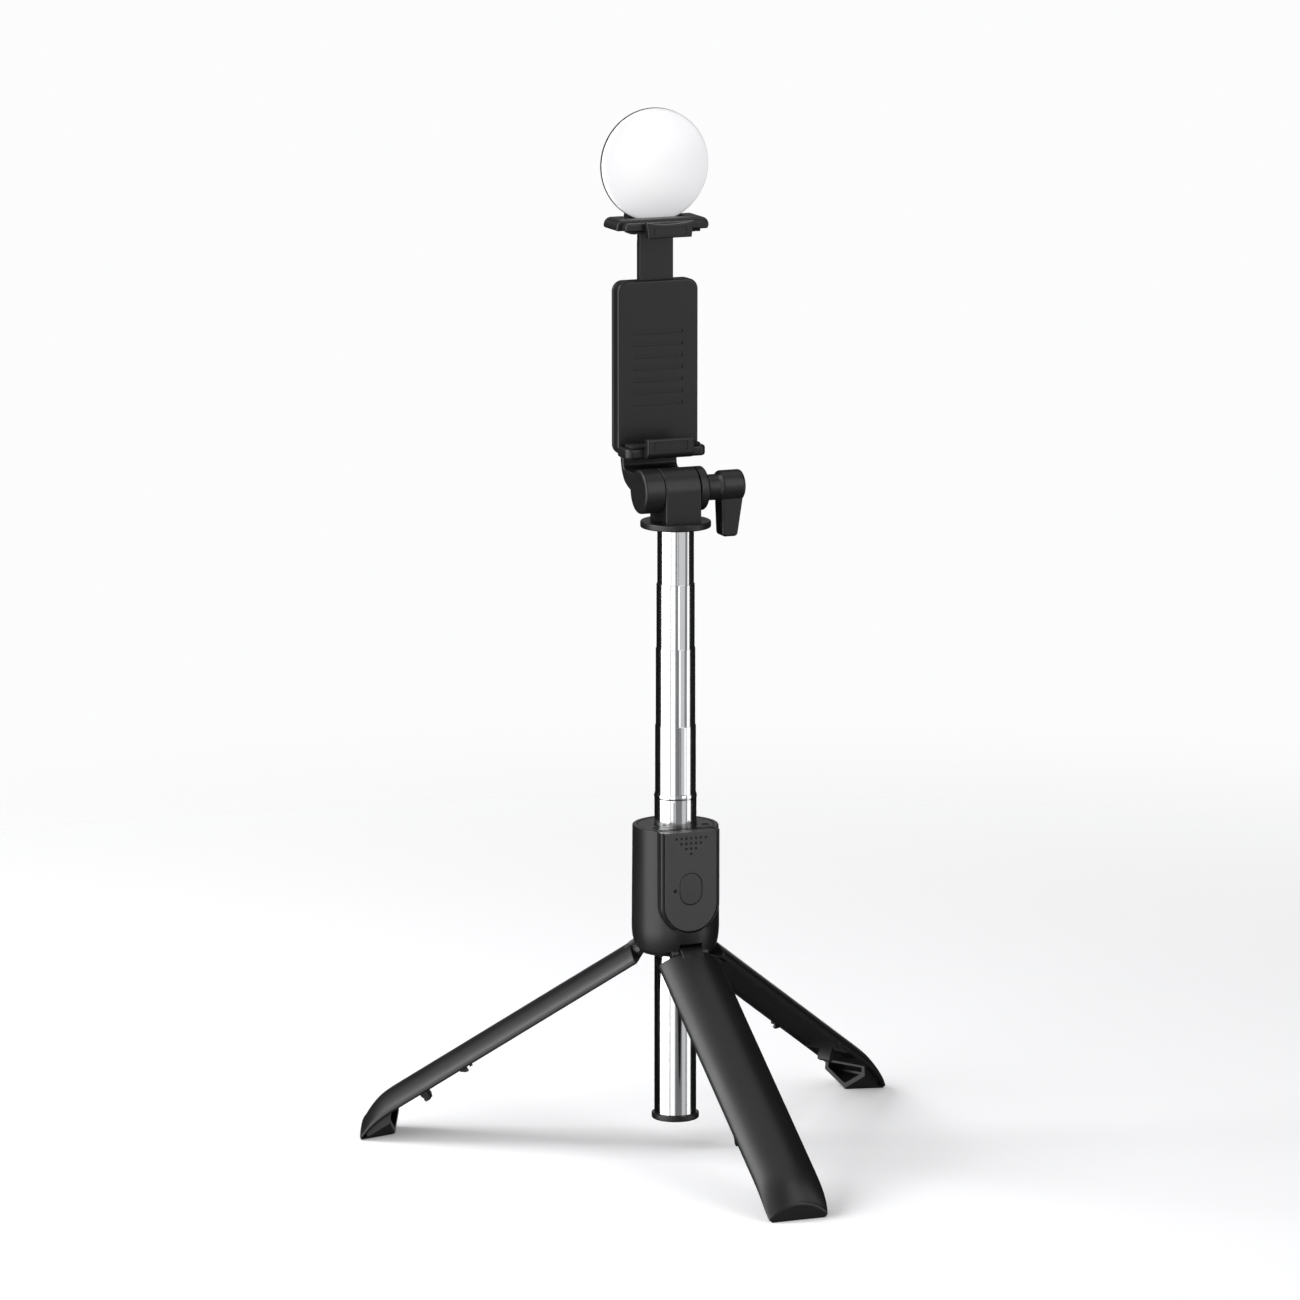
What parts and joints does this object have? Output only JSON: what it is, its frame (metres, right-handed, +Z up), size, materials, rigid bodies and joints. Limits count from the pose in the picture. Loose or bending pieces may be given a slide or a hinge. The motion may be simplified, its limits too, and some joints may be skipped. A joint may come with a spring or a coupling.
{
  "type": "selfie stick",
  "caption": "Pocket selfie stick standing on folding legs, with a telescopic chrome pole, a slide-out shutter remote, a tilting phone clamp and a round fill light.",
  "frame": {"origin": "on the floor, at the centre of the footprint of the open legs and everything above them", "axes": "+Z up along the pole, -Y to the front where the phone's screen and the remote face, +X to the right seen from the front, where the tilt knob is"},
  "size_m": [0.1976, 0.1711, 0.3491],
  "materials": {
    "black_plastic": "satin moulded",
    "button_plastic": "fine matt moulded",
    "rubber": "matt",
    "nylon": "smooth",
    "chrome": "mirror plated",
    "dark_steel": "blackened",
    "spring_steel": "drawn wire",
    "brass": "turned",
    "cell_steel": "satin can",
    "circuit_board": "solder mask",
    "white_board": "white solder mask",
    "diffuser": "glossy opal",
    "amber": "clear tinted"
  },
  "bodies": {
    "hub": {"hub_shell": "black_plastic", "hub_top_plate": "black_plastic", "hub_screw_left": "dark_steel", "hub_screw_right": "dark_steel", "pole_sleeve": "nylon", "leg_pin_1": "dark_steel", "leg_pin_2": "dark_steel", "leg_pin_3": "dark_steel"},
    "leg_1": {"leg_shell_1": "black_plastic", "foot_pad_1": "rubber"},
    "leg_2": {"leg_shell_2": "black_plastic", "foot_pad_2": "rubber"},
    "leg_3": {"leg_shell_3": "black_plastic", "foot_pad_3": "rubber"},
    "remote": {"remote_front_shell": "black_plastic", "remote_rear_shell": "black_plastic", "remote_dome_mat": "rubber", "remote_circuit_board": "circuit_board", "remote_coin_cell": "cell_steel", "remote_led_window": "amber"},
    "shutter_button": {"shutter_button": "button_plastic"},
    "pole": {"outer_tube": "chrome", "pole_end_cap": "black_plastic"},
    "stage_4": {"stage_4_tube": "chrome", "stage_4_plug": "nylon"},
    "stage_3": {"stage_3_tube": "chrome", "stage_3_plug": "nylon"},
    "stage_2": {"stage_2_tube": "chrome", "stage_2_plug": "nylon"},
    "stage_1": {"stage_1_tube": "chrome", "stage_1_plug": "nylon", "head_plug": "nylon"},
    "head": {"head_base": "black_plastic", "head_swivel_screw": "dark_steel"},
    "tilt_head": {"tilt_bracket": "black_plastic", "tilt_bolt": "dark_steel", "knob_washer": "nylon"},
    "knob": {"tilt_knob": "black_plastic", "knob_insert": "brass"},
    "clamp": {"clamp_body": "black_plastic", "clamp_rear_cover": "black_plastic", "clamp_pivot_rivet": "dark_steel", "lower_jaw_pad": "rubber", "clamp_spring_left": "spring_steel", "clamp_spring_right": "spring_steel"},
    "upper_jaw": {"upper_jaw": "black_plastic", "upper_jaw_pad": "rubber", "light_hinge_pin": "dark_steel"},
    "light": {"light_housing": "black_plastic", "light_diffuser": "diffuser", "light_led_board": "white_board", "light_battery": "cell_steel"},
    "light_button": {"light_button": "button_plastic"}
  },
  "joints": [
    {"name": "leg_1_fold", "type": "hinge", "parent": "hub", "child": "leg_1", "pos_m": [0, 0.01, 0.0686], "axis": [-1, 0, 0], "range_deg": [-57, 0]},
    {"name": "leg_2_fold", "type": "hinge", "parent": "hub", "child": "leg_2", "pos_m": [0.01039, 0.028, 0.0686], "axis": [0.5, -0.866, 0], "range_deg": [-57, 0]},
    {"name": "leg_3_fold", "type": "hinge", "parent": "hub", "child": "leg_3", "pos_m": [-0.01039, 0.028, 0.0686], "axis": [0.5, 0.866, 0], "range_deg": [-57, 0]},
    {"name": "pole_slide", "type": "slide", "parent": "hub", "child": "pole", "axis": [0, 0, 1], "range_m": [-0.0092, 0.055]},
    {"name": "stage_4_slide", "type": "slide", "parent": "pole", "child": "stage_4", "axis": [0, 0, 1], "range_m": [-0.0226, 0.066]},
    {"name": "stage_3_slide", "type": "slide", "parent": "stage_4", "child": "stage_3", "axis": [0, 0, 1], "range_m": [-0.0256, 0.059]},
    {"name": "stage_2_slide", "type": "slide", "parent": "stage_3", "child": "stage_2", "axis": [0, 0, 1], "range_m": [-0.0211, 0.06]},
    {"name": "stage_1_slide", "type": "slide", "parent": "stage_2", "child": "stage_1", "axis": [0, 0, 1], "range_m": [-0.0182, 0.059]},
    {"name": "head_swivel", "type": "hinge", "parent": "stage_1", "child": "head", "pos_m": [0, 0.022, 0.2114], "axis": [0, 0, 1], "continuous": true},
    {"name": "head_tilt", "type": "hinge", "parent": "head", "child": "tilt_head", "pos_m": [0, 0.022, 0.2239], "axis": [1, 0, 0], "range_deg": [-25, 90]},
    {"name": "knob_turn", "type": "hinge", "parent": "tilt_head", "child": "knob", "pos_m": [0.012, 0.022, 0.2239], "axis": [1, 0, 0], "continuous": true},
    {"name": "clamp_turn", "type": "hinge", "parent": "tilt_head", "child": "clamp", "pos_m": [0, 0.0439, 0.254], "axis": [0, 1, 0], "range_deg": [-90, 90]},
    {"name": "jaw_slide", "type": "slide", "parent": "clamp", "child": "upper_jaw", "axis": [0, 0, 1], "range_m": [-0.011, 0.015], "deforming": ["clamp_spring_left", "clamp_spring_right"]},
    {"name": "light_flip", "type": "hinge", "parent": "upper_jaw", "child": "light", "pos_m": [0, 0.0437, 0.3114], "axis": [-1, 0, 0], "range_deg": [0, 180]},
    {"name": "light_press", "type": "slide", "parent": "light", "child": "light_button", "axis": [0, -1, 0], "range_m": [0, 0.0004], "stiffness_N_per_m": 500},
    {"name": "remote_slide", "type": "slide", "parent": "hub", "child": "remote", "axis": [0, 0, 1], "range_m": [0, 0.048]},
    {"name": "shutter_press", "type": "slide", "parent": "remote", "child": "shutter_button", "axis": [0, 1, 0], "range_m": [0, 0.0004], "stiffness_N_per_m": 500}
  ]
}
